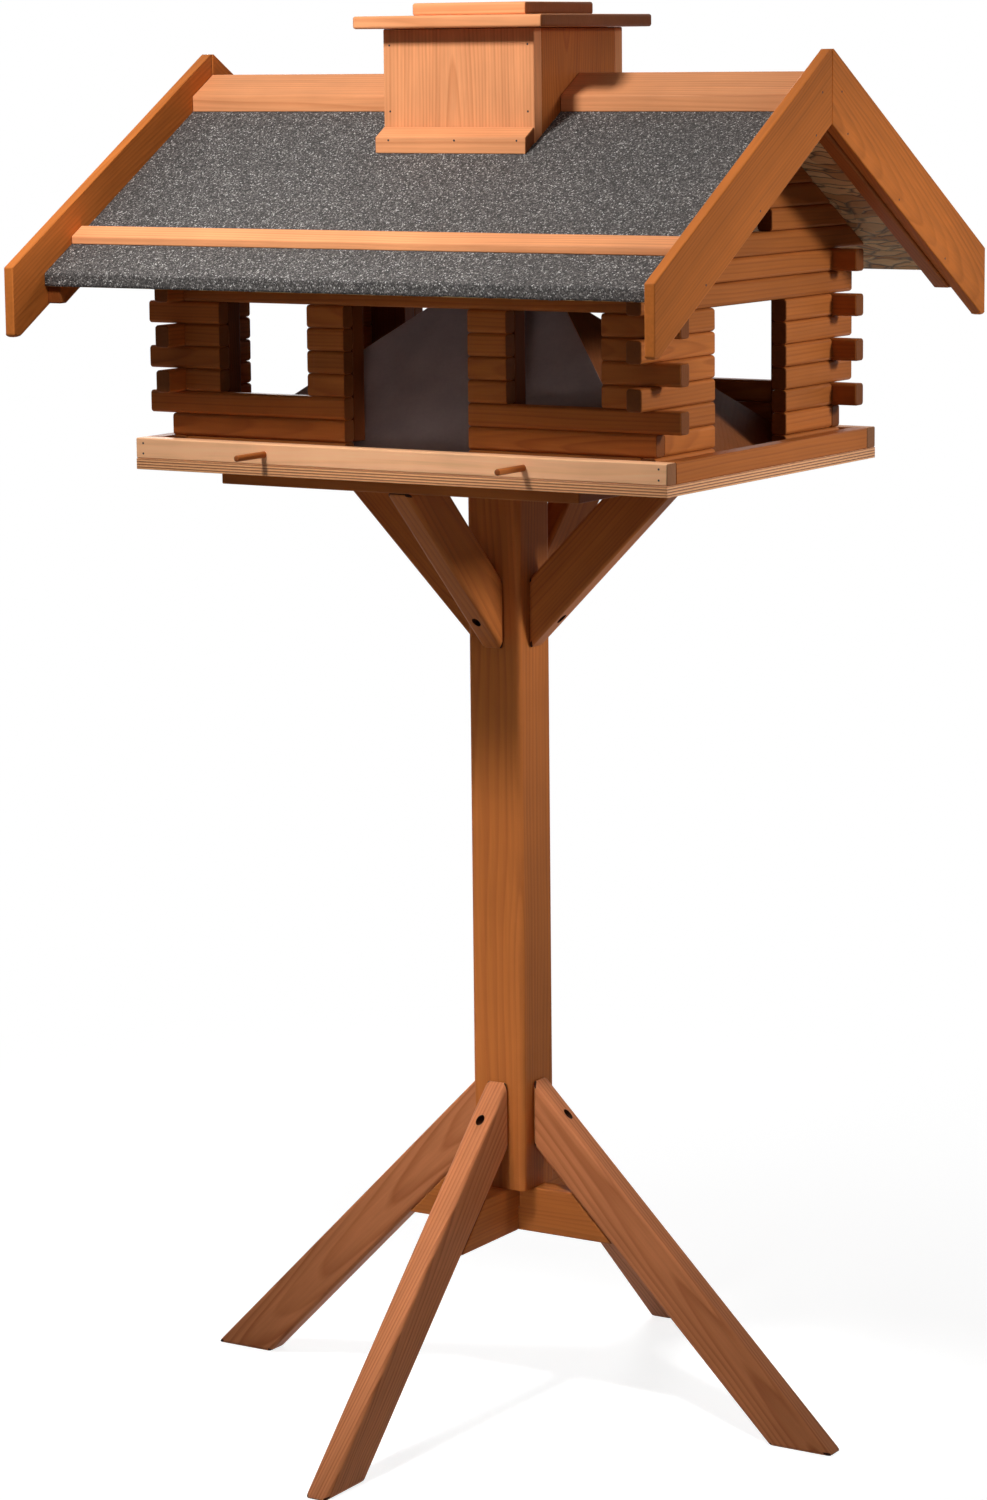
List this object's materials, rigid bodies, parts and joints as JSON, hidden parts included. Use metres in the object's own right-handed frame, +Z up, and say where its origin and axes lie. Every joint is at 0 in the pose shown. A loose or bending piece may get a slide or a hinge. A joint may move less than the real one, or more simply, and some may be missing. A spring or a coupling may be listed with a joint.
{
  "type": "bird feeder",
  "caption": "Log-built bird feeder house on a post with splayed legs, with a felted gable roof and a chimney whose lid lifts off for filling.",
  "frame": {"origin": "on the ground, under the middle of the post", "axes": "+Z up, X along the roof's ridge, the front wall with the perch pegs faces -Y"},
  "size_m": [0.76, 0.76, 1.4504],
  "materials": {
    "stained_pine": "brown wood stain, satin",
    "log_pine": "brown wood stain, satin",
    "rail_pine": "thin stain on planed pine, satin",
    "light_pine": "thin stain on planed pine, satin",
    "peg_beech": "stained dowel, satin",
    "birch_ply": "stained plywood, satin",
    "strand_board": "bare strand board",
    "roofing_felt": "mineral granules on bitumen felt, matt",
    "spreader_slate": "slate grey painted hardboard, matt",
    "spreader_brown": "brown wood stain, satin",
    "screw_steel": "zinc plated, dulled"
  },
  "bodies": {
    "house_and_stand": {"post": "stained_pine", "front_leg": "stained_pine", "right_leg": "stained_pine", "back_leg": "stained_pine", "left_leg": "stained_pine", "cross_board_x": "stained_pine", "cross_board_y": "stained_pine", "front_brace": "stained_pine", "right_brace": "stained_pine", "back_brace": "stained_pine", "left_brace": "stained_pine", "stand_screws": "screw_steel", "cross_screw": "screw_steel", "tray_plate": "stained_pine", "plate_screws": "screw_steel", "tray_screws": "screw_steel", "tray_floor": "birch_ply", "front_rail": "rail_pine", "back_rail": "rail_pine", "left_rail": "rail_pine", "right_rail": "rail_pine", "tray_brads": "screw_steel", "left_peg": "peg_beech", "right_peg": "peg_beech", "front_sill_logs": "log_pine", "front_corner_logs": "log_pine", "front_pier_logs": "log_pine", "front_header_logs": "log_pine", "back_sill_logs": "log_pine", "back_corner_logs": "log_pine", "back_pier_logs": "log_pine", "back_header_logs": "log_pine", "left_jamb_logs": "log_pine", "left_header_logs": "log_pine", "left_gable_logs": "log_pine", "right_jamb_logs": "log_pine", "right_header_logs": "log_pine", "right_gable_logs": "log_pine", "pier_battens": "log_pine", "corner_battens": "log_pine", "spreader_faces": "spreader_slate", "spreader_ends": "spreader_brown", "front_roof_panel": "strand_board", "back_roof_panel": "strand_board", "front_felt": "roofing_felt", "back_felt": "roofing_felt", "front_ridge_boards": "light_pine", "back_ridge_boards": "light_pine", "roof_laths": "light_pine", "left_barge_boards": "light_pine", "right_barge_boards": "light_pine", "gable_rafters": "stained_pine", "chimney_front_board": "light_pine", "chimney_back_board": "light_pine", "chimney_side_boards": "light_pine", "chimney_skirts": "light_pine", "roof_brads": "screw_steel"},
    "lid": {"lid_plate": "light_pine", "lid_top_plate": "light_pine", "lid_block": "stained_pine"}
  },
  "joints": [
    {"name": "lid_lift", "type": "slide", "parent": "house_and_stand", "child": "lid", "axis": [0, 0, 1], "range_m": [0, 0.12]}
  ]
}
